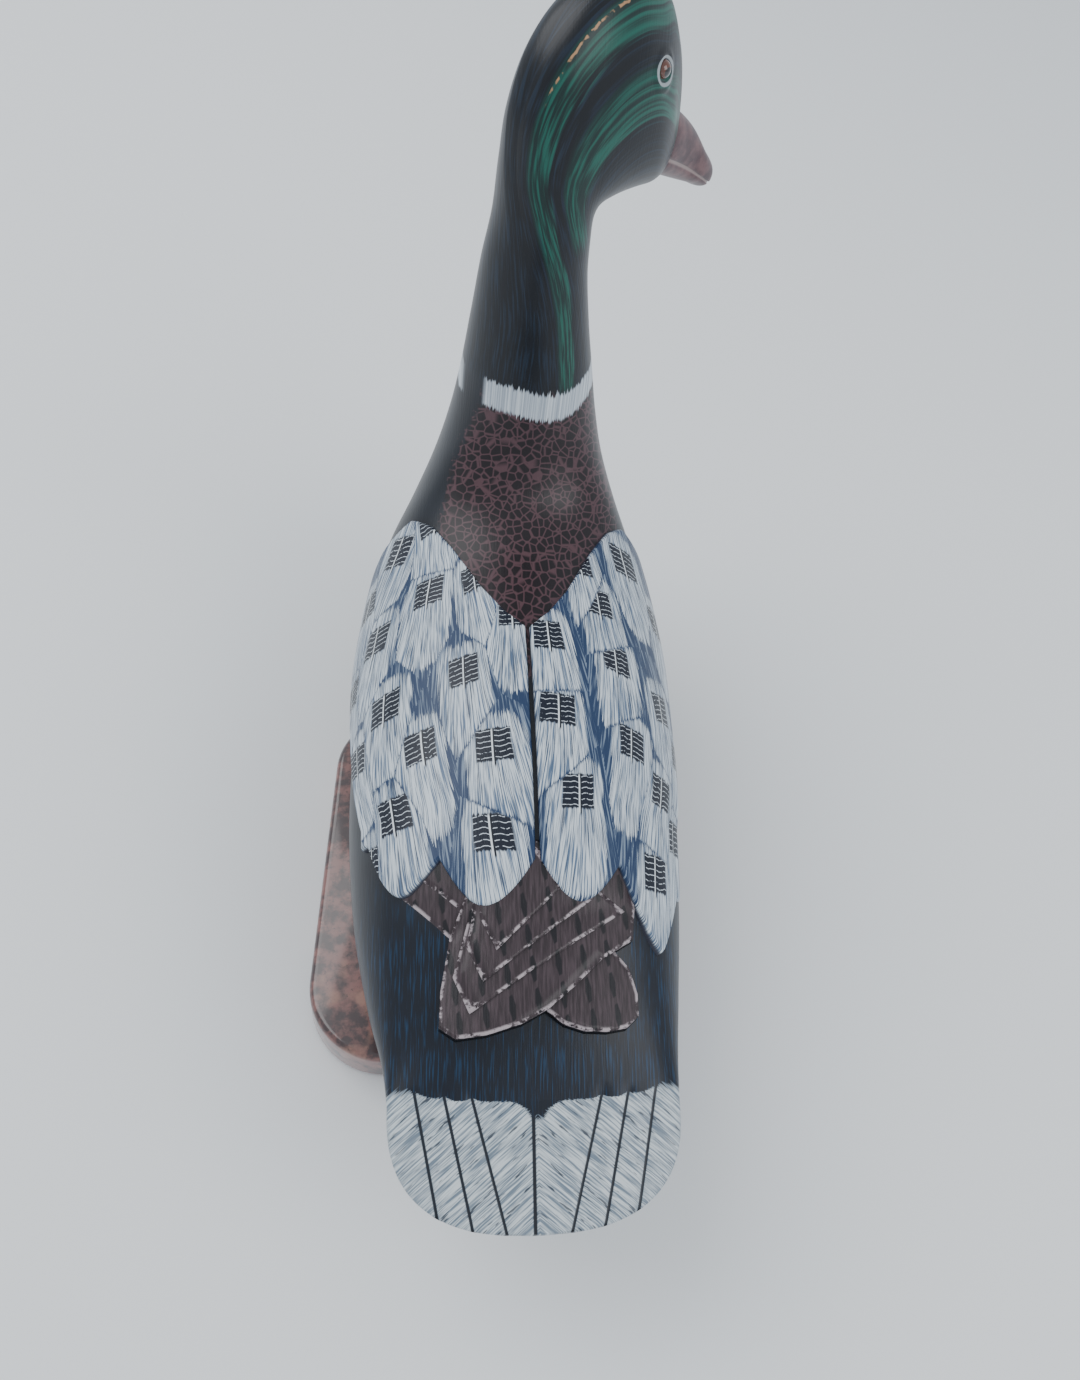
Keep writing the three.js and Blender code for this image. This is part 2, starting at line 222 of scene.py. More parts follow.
def bumped(ink, height, depth):
    """A normal from a height between 0 and 1 that stands for depth in metres."""
    return ink.add("ShaderNodeBump", values={"Strength": 1.0, "Distance": depth, "Height": height}, output=0)


def laid_on(obj, material, node):
    """Finish a piece: its material, its body and the solid that it stands for."""
    obj.data.materials.clear()
    obj.data.materials.append(material)
    obj.data.shade_smooth()
    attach(obj, "root")
    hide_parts(node)
    obj.data.calc_loop_triangles()
    print(obj.name, "has", len(obj.data.loop_triangles), "triangles")
    return obj


# %% [markdown]
# The carver's stations are sections across the bird, from the rump to the forehead, in
# millimetres. A smooth curve runs through each of their measures, so a section can be had
# anywhere between two stations. Points are spread round a section by their angle as seen from
# its middle, which spaces them evenly on the flat tail and on the round neck alike.

# %% The bird's form in numbers
NECK_AXIS = 148.0
HEAD_TURN = math.radians(48)
BROW_REACH = math.radians(28)
BROW_HOLD = 0.5
PLAIN = math.cos(math.radians(67.5))
TAIL_LENGTH = 39.0
TAIL_FALL = 12.0
TAIL_THICKNESS = 3.2
# back along and up, belly along and up, half width, squareness, aside, pear, brow, its place, turn
STATIONS = np.array([
    (-112, 89, -112, 77, 50, 2.8, 0, 0, 0, PLAIN, 0),
    (-97, 96.5, -97, 63, 52, 2.5, 0, 0, 0, PLAIN, 0),
    (-76, 107.5, -76, 44, 56.5, 2.3, -1, 0, 0, PLAIN, 0),
    (-45, 121.5, -45, 28, 61.5, 2.25, -2, 0, 0, PLAIN, 0),
    (-8, 130.5, -8, 20, 64.5, 2.25, -2.2, 0, 0, PLAIN, 0),
    (30, 134, 30, 18, 65.2, 2.25, -1.6, 0, 0, PLAIN, 0),
    (65, 135.5, 68, 19, 65.2, 2.2, -0.6, 0, 0, PLAIN, 0),
    (92, 138.5, 106, 27, 61.5, 2.15, 0, 0, 0, PLAIN, 0),
    (108, 146, 142, 42, 55, 2.1, 0, 0, 0, PLAIN, 0),
    (117, 158, 168, 68, 44.8, 2.05, 0.8, 0, 0, PLAIN, 0),
    (122, 171, 182, 98, 36.3, 2, 1.2, 0, 0, PLAIN, 0),
    (125, 185, 184, 130, 30.5, 2, 1, 0, 0, PLAIN, 0),
    (127, 200, 178, 162, 26.5, 2, 0, 0, 0, PLAIN, 0),
    (128, 218, 172, 194, 22.8, 2, -1.6, 0, 0, PLAIN, 0),
    (129, 236, 167, 223, 19.8, 2, -2.6, 0, 0, PLAIN, 0.2),
    (129.5, 254, 164.5, 241, 18, 2, -1.6, 0, 0.6, 0.34, 0.6),
    (130.5, 271, 167, 249, 17.8, 2.05, -2, 0.04, 1.2, 0.32, 0.9),
    (132.5, 288, 173.5, 250.5, 18.6, 2.15, -2, 0.06, 1.7, 0.38, 1),
    (139, 304, 180, 250, 19.6, 2.2, -2, 0.1, 2, 0.46, 1),
    (151, 315.5, 186.5, 249.5, 20, 2.3, -2, 0.14, 1.9, 0.52, 1),
    (166, 321, 192.5, 248.5, 19.2, 2.35, -2, 0.18, 1.3, 0.56, 1),
    (180.5, 320, 198, 247.5, 16.4, 2.3, -2, 0.22, 0.6, 0.56, 1),
    (192, 313.5, 202.5, 246.5, 12.8, 2.3, -2, 0.22, 0, PLAIN, 1),
    (200.5, 301.5, 206, 247, 10.2, 2.3, -2, 0.2, 0, PLAIN, 1),
])
BILL = np.array([
    (197, 277.5, 194, 252, 9.5, 2.2, -2, 0, 0, PLAIN, 1),
    (205.5, 273.5, 203, 248, 11, 2.3, -2, 0, 0, PLAIN, 1),
    (215, 267.5, 211.5, 244, 10.3, 2.4, -2, 0, 0, PLAIN, 1),
    (223.5, 260.5, 219, 240.5, 10, 2.4, -2, 0, 0, PLAIN, 1),
    (230.5, 252, 227, 237, 10.8, 2.4, -2, 0, 0, PLAIN, 1),
    (236.5, 245.5, 234, 233.5, 10, 2.4, -2, 0, 0, PLAIN, 1),
    (238.8, 240.5, 238, 234, 6.8, 2.2, -2, 0, 0, PLAIN, 1),
])


def section(place, table):
    """The measures of the section at a place, such as 2.5; below 0 it is on the tail fan."""
    last = len(table) - 1
    held = np.clip(place, 0, last)
    index = np.minimum(np.floor(held).astype(int), last - 1)
    t = (held - index)[..., None]
    p0, p1, p2, p3 = (table[np.clip(index + step, 0, last)] for step in (-1, 0, 1, 2))
    row = p1 + 0.5 * t * ((p2 - p0) + t * ((2 * p0 - 5 * p1 + 4 * p2 - p3) + t * (3 * p1 - p0 - 3 * p2 + p3)))
    reach = np.clip(-place, 0, 1)
    fan = row.copy()
    thick = TAIL_THICKNESS + (12 - TAIL_THICKNESS) * (1 - reach) ** 1.5
    fan[..., 0] = fan[..., 2] = -112 - TAIL_LENGTH * reach
    fan[..., 1] = 89 - TAIL_FALL * reach
    fan[..., 3] = fan[..., 1] - thick
    fan[..., 4] = 50 * (1 - reach ** 2.6) ** (1 / 2.6)
    return np.where((place < 0)[..., None], fan, row)


def brow_angle(row):
    n = row[..., 5]
    edge = np.arccos(np.minimum(1, row[..., 9]) ** (n / 2))
    return edge, np.arctan2(np.sin(edge) ** (2 / n), np.cos(edge) ** (2 / n))


def on_bird(place, angle, grow=0.0, table=STATIONS):
    """Points of the bird's skin, in mm, at a place along it and an angle round it, from its right."""
    row = section(place, table)
    n = row[..., 5]
    edge, _ = brow_angle(row)
    cos, sin = np.cos(angle), np.sin(angle)
    radius = (np.abs(cos) ** n + np.abs(sin) ** n) ** (-1 / n)
    across, high = radius * cos, radius * sin
    round_from = np.arctan2(np.abs(sin) ** (n / 2), np.abs(cos) ** (n / 2)) * np.sign(sin)
    above = 1 - (1 - BROW_HOLD) * (round_from - edge) / (math.pi / 2 - edge)
    below = np.maximum(0, 1 - (edge - round_from) / BROW_REACH)
    lift = row[..., 8] * np.where(round_from >= edge, above, below)
    up = np.stack([row[..., 0] - row[..., 2], row[..., 1] - row[..., 3]], -1)
    tall = np.linalg.norm(up, axis=-1)
    up = up / tall[..., None]
    climb = high * (tall / 2 + grow) + lift
    along = (row[..., 0] + row[..., 2]) / 2 + up[..., 0] * climb - NECK_AXIS
    z = (row[..., 1] + row[..., 3]) / 2 + up[..., 1] * climb
    x = across * (row[..., 4] + grow) * (1 - row[..., 7] * high)
    swing = HEAD_TURN * row[..., 10]
    return np.stack([
        row[..., 6] + x * np.cos(swing) + along * np.sin(swing),
        NECK_AXIS + along * np.cos(swing) - x * np.sin(swing),
        z,
    ], -1)


print("bird runs from", on_bird(np.array([-1.0]), np.array([1.57])).round(1).tolist())

# %% [markdown]
# A grid from Blender is laid on the bird: its columns go round, its rows go along. The seam is
# under the belly, where it doesn't show. Grids are made by an operator, numpy places their
# points, and the seam and the two ends are closed by operators again.


# %% Laying grids on the bird
def grid_mesh(name, columns, rows):
    """A flat grid with its columns and rows as numbers from 0 to 1."""
    shape = bmesh.new()
    bmesh.ops.create_grid(shape, x_segments=columns, y_segments=rows, size=0.5)
    mesh = bpy.data.meshes.new(name)
    shape.to_mesh(mesh)
    shape.free()
    flat = np.zeros(len(mesh.vertices) * 3)
    mesh.vertices.foreach_get("co", flat)
    flat = flat.reshape(-1, 3) + 0.5
    return mesh, flat[:, 0], flat[:, 1]


def place_points(mesh, points):
    mesh.vertices.foreach_set("co", (points * MM).ravel())
    mesh.update()


def note(mesh, name, values, domain="POINT"):
    """Keep numbers on the mesh for its material: one each, or three each."""
    kind = "FLOAT" if values.ndim == 1 else "FLOAT_VECTOR"
    layer = mesh.attributes.new(name, kind, domain)
    layer.data.foreach_set("value" if kind == "FLOAT" else "vector", values.astype(np.float32).ravel())


def close_up(mesh, name):
    """Merge the seam, fill the open ends and turn the faces outwards."""
    shape = bmesh.new()
    shape.from_mesh(mesh)
    bmesh.ops.remove_doubles(shape, verts=shape.verts, dist=1e-6)
    rim = [edge for edge in shape.edges if edge.is_boundary]
    filled = bmesh.ops.holes_fill(shape, edges=rim, sides=0)
    bmesh.ops.triangulate(shape, faces=filled["faces"])
    bmesh.ops.recalc_face_normals(shape, faces=shape.faces)
    shape.to_mesh(mesh)
    shape.free()
    obj = bpy.data.objects.new(name, mesh)
    scene.collection.objects.link(obj)
    return obj


def round_angles(turn, row):
    """Angles for numbers 0 to 1 that start under the belly, with a point line on each brow."""
    _, edge = brow_angle(row)
    half = np.abs(turn - 0.5) * 2
    steps = [0, 0.30, 0.66, 1]
    top = math.pi / 2
    levels = [np.full_like(edge, top), edge, np.zeros_like(edge), np.full_like(edge, -top)]
    angle = np.zeros_like(half)
    for k in range(3):
        t = np.clip((half - steps[k]) / (steps[k + 1] - steps[k]), 0, 1)
        inside = (half >= steps[k]) & (half <= steps[k + 1])
        angle = np.where(inside, levels[k] + (levels[k + 1] - levels[k]) * t, angle)
    return np.where(turn < 0.5, angle, math.pi - angle)


# %% [markdown]
# The skin of the whole bird: tail, body, neck and head in one. Rows are close together on the
# tail, the rump and the head, and wide apart below the wings, where nothing shows. The feather
# lines of the tail are cut in as V grooves, and the eye sockets are sunk with a soft rim.

# %% The duck's skin
COLUMNS = 216
ROW_STOPS = [(-0.9996, 0), (-0.8, 26), (0, 62), (3.3, 146), (6.6, 192), (9, 244), (15, 336), (23, 430)]
BELLY = 22.3
GROOVES = [(41, 33), (31.5, 22.5), (22.5, 12)]
GROOVE_DEPTH = 0.9
GROOVE_WIDTH = 2.0
EYE = (180.5, 296.0)
EYE_ACROSS = 14.9
EYE_RADIUS = 3.1


def groove_at(y, groove):
    return groove[0] + (groove[1] - groove[0]) * np.clip((-109 - y) / 37, 0, 1.2)


def head_frame(points):
    """Points as seen by the head: to its right, forwards and up."""
    x, y = points[..., 0] + 2, points[..., 1] - NECK_AXIS
    cos, sin = math.cos(HEAD_TURN), math.sin(HEAD_TURN)
    return np.stack([x * cos - y * sin, x * sin + y * cos + NECK_AXIS, points[..., 2]], -1)


def outwards(side):
    return np.array([math.cos(HEAD_TURN), -math.sin(HEAD_TURN), 0]) * side


def make_skin():
    rows = ROW_STOPS[-1][1]
    mesh, turn, row_share = grid_mesh("duck_skin", COLUMNS, rows)
    stops = np.array(ROW_STOPS)
    place = np.interp(row_share * rows, stops[:, 1], stops[:, 0])
    row = section(place, STATIONS)
    angle = round_angles(turn, row)
    points = on_bird(place, angle)
    top = np.sin(angle) > 0
    lanes = np.zeros(len(points))
    for groove in GROOVES:
        line = groove_at(points[:, 1], groove)
        cut = np.maximum(0, 1 - np.abs(np.abs(points[:, 0]) - line) / GROOVE_WIDTH)
        cut *= np.clip((-107 - points[:, 1]) / 5, 0, 1) * top
        points[:, 2] -= GROOVE_DEPTH * cut
        lanes += np.clip((np.abs(points[:, 0]) - line) / 10 + 0.5, 0, 1)
    head = head_frame(points)
    for side in (-1, 1):
        away = np.hypot(head[:, 1] - EYE[0], head[:, 2] - EYE[1])
        on_side = (np.sign(head[:, 0]) == side) & (place > 16)
        bulge = 0.55 * np.exp(-((away - 5.2) / 1.3) ** 2) - 1.1 * np.exp(-(away / 3.0) ** 4)
        points += (bulge * on_side)[:, None] * outwards(side)
    points[:, 2] = np.maximum(points[:, 2], BELLY)
    eye = np.hypot((head[:, 1] - EYE[0]) / 1.25 + 0.25 * (head[:, 2] - EYE[1]), head[:, 2] - EYE[1])
    eye = np.where(place > 16, eye, 99)
    _, edge = brow_angle(row)
    from_brow = (np.where(angle > math.pi / 2, math.pi - angle, angle) - edge) * row[:, 4]
    mantle = 22 + 21 * np.clip((178 - points[:, 2]) / 60, 0, 1.1) - np.abs(points[:, 0] - 4)
    mantle = np.where(top & (place < 12.5) & (place > 5), mantle, -20)
    collar = 6 - np.abs(points[:, 2] - 182.5 - 0.16 * points[:, 0] + 3 * np.sin(points[:, 0] / 9))
    collar = np.where(place > 8, collar, -20)
    gap = np.abs(points[:, 0] + 22) + np.where(top, 0, 40)
    note(mesh, "zones", np.stack([mantle, collar, gap], -1))
    note(mesh, "brow", np.stack([from_brow, place, np.sign(np.cos(angle))], -1))
    note(mesh, "flow", np.stack([from_brow + 25, points[:, 2] - points[:, 1], lanes], -1))
    note(mesh, "eye", eye)
    place_points(mesh, points)
    return close_up(mesh, "duck_skin")


skin = make_skin()
print("skin of", len(skin.data.vertices), "points")

# %% [markdown]
# Each folded wing is a raised patch of the same skin. Its grid runs from the wing's front edge
# to its scalloped rear edge, so the edges are crisp. The patch is lifted by the wing's height,
# with a rounded rim, and its underside is sunk a little into the body.

# %% The wings' outlines
RISE = 2.6
RIM = 1.5
SINK = 1.5
GAP = 0.6
FRONT = [(0.6, 52), (9, 60), (17, 71), (23, 82), (29, 93), (37, 105), (45, 113), (56, 112), (68, 102), (80, 80)]
LOWER_EDGE = [(-80, 92), (-48, 98), (-20, 103), (10, 97), (44, 88), (72, 84), (96, 88), (112, 98), (125, 112)]
# start, tip and end of each rear scallop, and how round it is
SCALLOPS = {
    -1: [((59, -27), (47, -49), (34, -39.5), 1.8), ((34, -39.5), (18, -56), (0.6, -41), 1.8)],
    1: [((54, -46), (46, -67), (30, -41.5), 1.3), ((30, -41.5), (15, -54.5), (0.6, -41), 1.8)],
}


def rear_edge(x, side):
    """How far back the wing reaches at a distance from the spine."""
    level = np.full_like(x, SCALLOPS[side][0][0][1], dtype=float)
    for start, tip, end, roundness in SCALLOPS[side]:
        t = np.clip((x - start[0]) / (end[0] - start[0]), 0, 1)
        peak = (tip[0] - start[0]) / (end[0] - start[0])
        off = np.where(t < peak, (peak - t) / peak, (t - peak) / (1 - peak))
        base = start[1] + (end[1] - start[1]) * t
        level = np.where(x < start[0], base + (tip[1] - base) * (1 - off ** roundness), level)
    return level


def crossing(values, axis_values):
    """Where each column of values first turns from below nought to above it."""
    positive = values > 0
    first = np.clip(np.argmax(positive, axis=0), 1, len(axis_values) - 1)
    columns = np.arange(values.shape[1])
    low, high = values[first - 1, columns], values[first, columns]
    t = np.clip(low / (low - high + 1e-9), 0, 1)
    return axis_values[first - 1] + t * (axis_values[first] - axis_values[first - 1])


# %% Raising the wings
WING_COLUMNS = 190
WING_ROWS = 400


def wing_angle(place, share, side):
    """The angle round the body at a share of the way from the spine to the wing's lower edge."""
    angles = np.linspace(-0.5, math.pi / 2, 120)
    grid_places, grid_angles = np.meshgrid(place, angles)
    points = on_bird(grid_places, grid_angles, RISE)
    front, up = zip(*LOWER_EDGE)
    lower = crossing(points[..., 2] - np.interp(points[..., 1], front, up), angles)
    middle = section(place, STATIONS)
    inner = math.pi / 2 - np.arctan((GAP - side * middle[:, 6]) / middle[:, 4])
    angle = inner + (lower - inner) * share
    return angle if side > 0 else math.pi - angle


def make_wing(side, name):
    mesh, share, along = grid_mesh(name, WING_COLUMNS, WING_ROWS)
    places = np.linspace(2.2, 9.6, 260)
    shares = np.linspace(0, 1, WING_COLUMNS + 1)
    table = np.stack([on_bird(places, wing_angle(places, s, side), RISE) for s in shares], 1)
    out = np.abs(table[..., 0])
    starts, heights = zip(*FRONT)
    rear = crossing(table[..., 1] - rear_edge(out, side), places)
    front = crossing(table[..., 1] - np.interp(out, starts, heights), places)
    eased = 0.45 * (1 - np.cos(math.pi * along)) / 2 + 0.55 * along
    behind, ahead = np.interp(share, shares, rear), np.interp(share, shares, front)
    place = behind + (ahead - behind) * eased
    angle = np.zeros_like(place)
    for s in shares:
        column = np.abs(share - s) < 0.5 / WING_COLUMNS
        angle[column] = wing_angle(place[column], s, side)
    flat = on_bird(place, angle, RISE)
    order = np.lexsort((share.round(6), along.round(6)))
    grid = flat[order].reshape(WING_ROWS + 1, WING_COLUMNS + 1, 3)
    steps = np.linalg.norm(np.diff(grid, axis=1), axis=2)
    arc = np.concatenate([np.zeros((WING_ROWS + 1, 1)), np.cumsum(steps, axis=1)], 1)
    lengths = np.linalg.norm(np.diff(grid, axis=0), axis=2)
    run = np.concatenate([np.zeros((1, WING_COLUMNS + 1)), np.cumsum(lengths, axis=0)], 0)
    rim = np.minimum(np.minimum(run, run[-1:] - run), np.minimum(arc, arc[:, -1:] - arc))
    lift = RISE * np.sqrt(1 - (1 - np.clip(rim / RIM, 0, 1)) ** 2)
    spread = np.zeros((3, len(flat)))
    for k, values in enumerate((arc, rim, lift)):
        spread[k][order] = values.ravel()
    arc, rim, lift = spread
    points = on_bird(place, angle, lift - 0.02)
    note(mesh, "rim", rim)
    note(mesh, "unrolled", np.stack([arc + GAP, points[:, 1], points[:, 0]], -1))
    deep = on_bird(place, angle, -SINK)
    place_points(mesh, points)
    shape = bmesh.new()
    shape.from_mesh(mesh)
    shape.verts.ensure_lookup_table()
    edges = [edge for edge in shape.edges if edge.is_boundary]
    source = {tuple(round(c, 7) for c in vert.co): deep[vert.index] for vert in shape.verts if vert.is_boundary}
    made = bmesh.ops.extrude_edge_only(shape, edges=edges)["geom"]
    fresh = [item for item in made if isinstance(item, bmesh.types.BMVert)]
    for vert in fresh:
        vert.co = Vector(source[tuple(round(c, 7) for c in vert.co)]) * MM
    shape.to_mesh(mesh)
    shape.free()
    return close_up(mesh, name)


# %% [markdown]
# Every painted feather is laid out from one mark, the middle of its dark ladder. Each face of the
# wing takes the nearest mark, and its corners keep where they lie from it, across and along the
# feather. The material then draws ladder, shaft and white tongue in those numbers.

# %% Painted feathers
# across and along the body, in mm, and the lean of the shaft in degrees
MARKS = {
    -1: [(29, 108, 16), (50, 101, -18), (38, 73, 5), (20, 76, 20), (58, 61, -5), (25, 32, 10),
         (54, 25, 4), (40, 3, 8), (15, 0, 5), (50, -20, 3), (16, -32, 1), (4, 58, 4)],
    1: [(44, 95, 5), (30, 68, -2), (35, 42, -6), (38, 6, -6), (59, 77, 4), (55, 30, 9),
        (16, -17, 2), (50, -9, -4), (44, -41, 3), (8, 48, 0), (10, 15, -4), (18, 86, 2)],
}
OUTER = 46
NEXT_ROW = 19
LADDER_TO_MIDDLE = 9.0


def mark_feathers(obj, side):
    mesh = obj.data
    count = len(mesh.vertices)
    unrolled = np.zeros(count * 3)
    mesh.attributes["unrolled"].data.foreach_get("vector", unrolled)
    unrolled = unrolled.reshape(-1, 3)
    corners = np.zeros(len(mesh.loops), int)
    mesh.loops.foreach_get("vertex_index", corners)
    owner = np.zeros(len(mesh.loops), int)
    totals = np.zeros(len(mesh.polygons), int)
    mesh.polygons.foreach_get("loop_total", totals)
    owner = np.repeat(np.arange(len(totals)), totals)
    spots = unrolled[corners]
    middles = np.stack([np.bincount(owner, spots[:, k]) for k in range(2)], -1) / totals[:, None]
    marks = []
    for x, y, lean in MARKS[side]:
        near = np.argmin((np.abs(unrolled[:, 2]) - x) ** 2 + (unrolled[:, 1] - y) ** 2)
        marks.append((unrolled[near, 0], y, -side * lean))
        if x >= OUTER:
            marks.append((unrolled[near, 0] + NEXT_ROW, y - 15, 0))
    marks = np.array(marks)

    def local(points, mark):
        lean = np.radians(mark[..., 2])
        a, b = points[..., 0] - mark[..., 0], points[..., 1] - mark[..., 1]
        return a * np.cos(lean) - b * np.sin(lean), a * np.sin(lean) + b * np.cos(lean)

    p, q = local(middles[:, None, :], marks[None])
    reach = np.sqrt((p / 10) ** 2 + ((q + LADDER_TO_MIDDLE) / 17) ** 2)
    best = np.argmin(reach, axis=1)
    nearest_two = np.sort(reach, axis=1)[:, :2]
    border = (nearest_two[:, 1] - nearest_two[:, 0])[owner]
    p, q = local(spots, marks[best][owner])
    note(mesh, "feather", np.stack([p * side, q, best[owner] * 1.37], -1), "CORNER")
    note(mesh, "border", border, "CORNER")


wings = {side: make_wing(side, name) for side, name in ((-1, "wing_left"), (1, "wing_right"))}
for side, wing in wings.items():
    mark_feathers(wing, side)
    print(wing.name, len(wing.data.vertices), "points")

# %% [markdown]
# The crossed wing tips are thin carved plates. Each outline is filled and divided by
# operators, laid on one sloping, crowned surface, thickened downwards and rounded along its top edge.
# The bill is a grid laid on its own stations, and the eyes are glass beads.

# %% Wing tips, bill, eyes and plinth
CHEVRONS = [[(-2, -36), (-20, -46), (-20 - 4.5 * k, -59 - 9 * k), (-14.5 - 4.5 * k, -70 - 9.5 * k),
             (8 + 11.5 * k, -50 - 3 * k)] for k in range(3)]
LEFT_TIP = [(-34, -36), (-48, -47), (-31, -63), (2, -88), (8, -92.5), (15, -94.5), (23, -94.5),
            (30, -93), (34.5, -89), (34.5, -82), (32, -74), (24, -66), (-10, -40)]
LEFT_INNER = [(-34, -36), (-42, -42.5), (-4, -75), (8, -68), (-10, -40)]
RIGHT_TIP = [(-4, -34), (33, -36), (35, -54), (33.5, -65), (22, -72), (12, -81), (3, -88),
             (-6, -92.5), (-18, -95.5), (-28, -96), (-33.5, -92), (-33, -81), (-30, -64), (-24, -50)]
TIPS = {
    "tip_left": (LEFT_TIP, -1.6), "tip_left_inner": (LEFT_INNER, -0.8), "tip_right": (RIGHT_TIP, 0),
    "feather_upper": (CHEVRONS[0], 2.4), "feather_middle": (CHEVRONS[1], 1.6), "feather_lower": (CHEVRONS[2], 0.8),
}
PLATE = 4.0
TIP_LIFT = 1.0


def back_height(x, y):
    """Height of the duck's back at a point in plan, between the rump and the wings' middle."""
    rows = section(np.linspace(0, 5, 200), STATIONS)
    measure = [np.interp(y, rows[:, 0], rows[:, k]) for k in (1, 3, 4, 5, 6)]
    back, belly, half, n, aside = measure
    share = min(1, abs(x - aside) / half)
    return (back + belly) / 2 + (back - belly) / 2 * (1 - share ** n) ** (1 / n)


def make_tip(name, outline, rise):
    ring = np.array(outline, float)
    shape = bmesh.new()
    verts = [shape.verts.new((x, y, 0)) for x, y in ring]
    face = shape.faces.new(verts)
    bmesh.ops.triangulate(shape, faces=[face])
    bmesh.ops.subdivide_edges(shape, edges=shape.edges, cuts=11, use_grid_fill=True)
    made = bmesh.ops.extrude_face_region(shape, geom=shape.faces[:])["geom"]
    lower = {item for item in made if isinstance(item, bmesh.types.BMVert)}
    for vert in shape.verts:
        x, y = vert.co.x, vert.co.y
        top = 120 + (y + 45) * 0.24 - 4 * (x / 30) ** 2 + rise
        top = max(top, back_height(x, y) + TIP_LIFT + rise * 0.4)
        vert.co = Vector((x, y, top - (PLATE if vert in lower else 0)))
    rim = [e for e in shape.edges if e.calc_face_angle(0) > 1.2 and not (set(e.verts) & lower)]
    bmesh.ops.bevel(shape, geom=rim, offset=0.5, segments=2, profile=0.5, affect="EDGES", material=-1)
    bmesh.ops.recalc_face_normals(shape, faces=shape.faces)
    mesh = bpy.data.meshes.new(name)
    shape.to_mesh(mesh)
    shape.free()
    points = np.zeros(len(mesh.vertices) * 3)
    mesh.vertices.foreach_get("co", points)
    points = points.reshape(-1, 3)
    ends = np.roll(ring, -1, axis=0)
    span = ends - ring
    t = np.clip(((points[:, None, :2] - ring) * span).sum(-1) / (span ** 2).sum(-1), 0, 1)
    away = np.linalg.norm(points[:, None, :2] - ring - t[..., None] * span, axis=-1).min(1)
    note(mesh, "rim", away)
    place_points(mesh, points)
    obj = bpy.data.objects.new(name, mesh)
    scene.collection.objects.link(obj)
    return obj


def make_bill():
    mesh, turn, share = grid_mesh("bill", 96, 110)
    place = share * (len(BILL) - 1)
    angle = (turn - 0.25) * 2 * math.pi
    points = on_bird(place, angle, 0, BILL)
    low = -0.42
    side = np.arcsin(np.sin(angle))
    groove = np.exp(-((side - low) / 0.07) ** 2)
    centre = on_bird(place, np.full_like(place, -1.5), 0, BILL) * 0.5 + on_bird(place, np.full_like(place, 1.5), 0, BILL) * 0.5
    points += (centre - points) * (0.09 * groove)[:, None]
    note(mesh, "mouth", groove)
    place_points(mesh, points)
    return close_up(mesh, "bill_skin")


def make_eye(side, name):
    shape = bmesh.new()
    bmesh.ops.create_uvsphere(shape, u_segments=48, v_segments=32, radius=EYE_RADIUS * MM)
    outward = Vector(outwards(side))
    turn = outward.to_track_quat("Z", "Y").to_matrix().to_4x4()
    head = np.array([side * EYE_ACROSS, EYE[0] - NECK_AXIS])
    cos, sin = math.cos(HEAD_TURN), math.sin(HEAD_TURN)
    spot = Vector((-2 + head[0] * cos + head[1] * sin, NECK_AXIS + head[1] * cos - head[0] * sin, EYE[1])) * MM
    mesh = bpy.data.meshes.new(name)
    shape.to_mesh(mesh)
    pole = np.array([vert.co.z for vert in shape.verts]) / (EYE_RADIUS * MM)
    bmesh.ops.transform(shape, matrix=Matrix.Translation(spot) @ turn, verts=shape.verts)
    shape.to_mesh(mesh)
    shape.free()
    note(mesh, "pole", pole)
    obj = bpy.data.objects.new(name, mesh)
    scene.collection.objects.link(obj)
    return obj


def make_plinth():
    shape = bmesh.new()
    bmesh.ops.create_cube(shape, size=1, matrix=Matrix.Diagonal((0.151, 0.167, 0.022, 1)))
    uprights = [e for e in shape.edges if abs(e.verts[0].co.z - e.verts[1].co.z) > 0.01]
    bmesh.ops.bevel(shape, geom=uprights, offset=0.032, segments=24, profile=0.5, affect="EDGES", material=-1)
    rims = [e for e in shape.edges if abs(e.verts[0].co.z - e.verts[1].co.z) < 1e-5]
    bmesh.ops.bevel(shape, geom=rims, offset=0.003, segments=6, profile=0.5, affect="EDGES", material=-1)
    place = Matrix.Translation((-0.004, 0.0025, 0.011)) @ Matrix.Rotation(math.radians(-3.4), 4, "Z")
    bmesh.ops.transform(shape, matrix=place, verts=shape.verts)
    mesh = bpy.data.meshes.new("plinth_wood")
    shape.to_mesh(mesh)
    shape.free()
    obj = bpy.data.objects.new("plinth_wood", mesh)
    scene.collection.objects.link(obj)
    return obj


# %% [markdown]
# The paint. Strokes are noise that is drawn out along the feather: fine across, long along.
# A mask times a stroke gives the dry, combed edges of the brushwork. All is worked out in
# millimetres from the numbers that the meshes keep.

# %% Paint for the skin
def strokes(across, along, width, length, shift=0.0):
    return cloud(joined(across * (1 / width), along * (1 / length), shift), 1, 2, 0.55)


def finish_paint(ink, material, shader, colour, height, gloss=0.36, coat=0.06):
    wire(ink.tree, shader, Base_Color=colour, Roughness=gloss, Coat_Weight=coat, Coat_Roughness=0.2)
    shader.inputs["Specular IOR Level"].default_value = 0.35
    wire(ink.tree, shader, Normal=bumped(ink, height, 0.00015))
    return material


